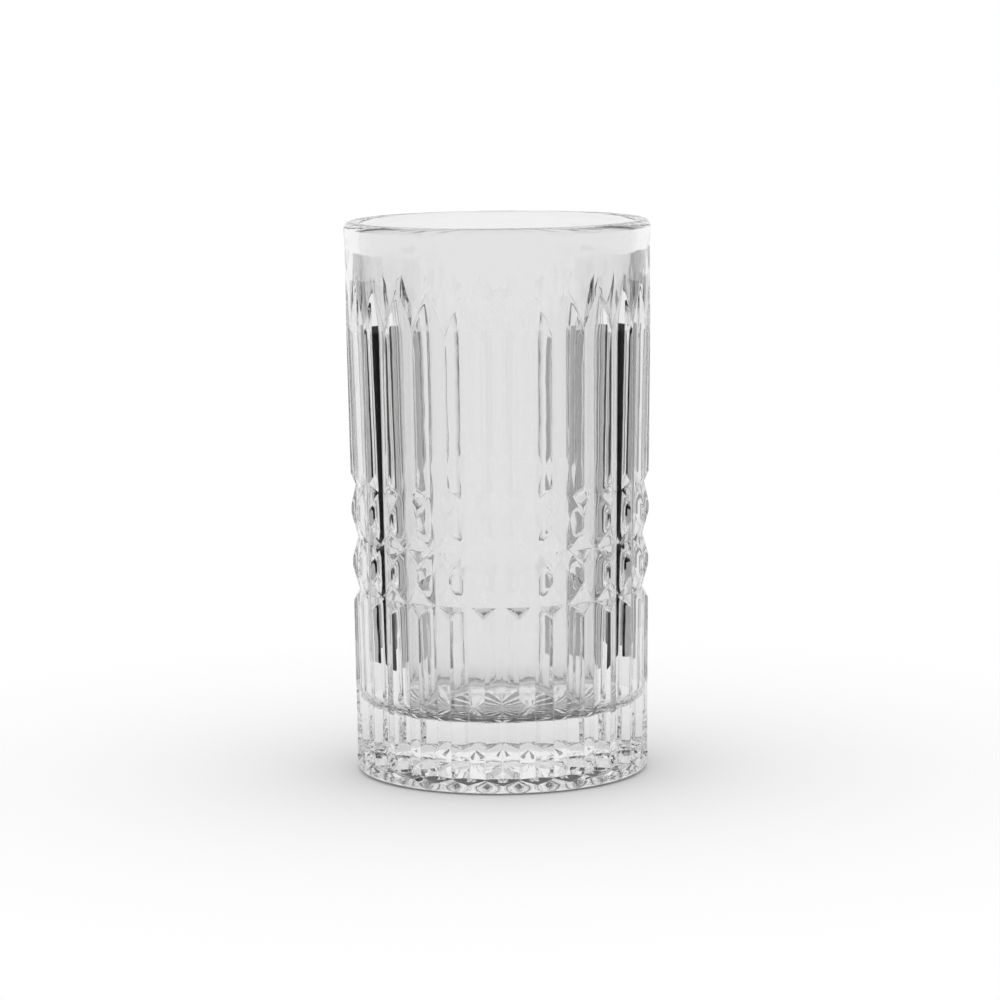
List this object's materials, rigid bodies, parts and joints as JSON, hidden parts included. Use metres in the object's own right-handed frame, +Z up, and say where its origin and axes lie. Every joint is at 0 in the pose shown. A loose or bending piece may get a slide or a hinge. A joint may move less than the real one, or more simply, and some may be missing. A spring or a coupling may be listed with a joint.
{
  "type": "highball glass",
  "caption": "Tall pressed-glass tumbler with a plain rounded rim, pointed V-cut flutes, pyramid bands, short columns and a thick star-cut base.",
  "frame": {"origin": "centre of the foot, in the plane of the ring that the glass stands on", "axes": "+Z up along the glass's axis; -Y towards the picture's camera, with one flute's valley facing it"},
  "size_m": [0.0804, 0.0804, 0.1454],
  "materials": {
    "glass": "clear pressed glass, fire-polished"
  },
  "bodies": {
    "root": {"tumbler": "glass"}
  },
  "joints": []
}
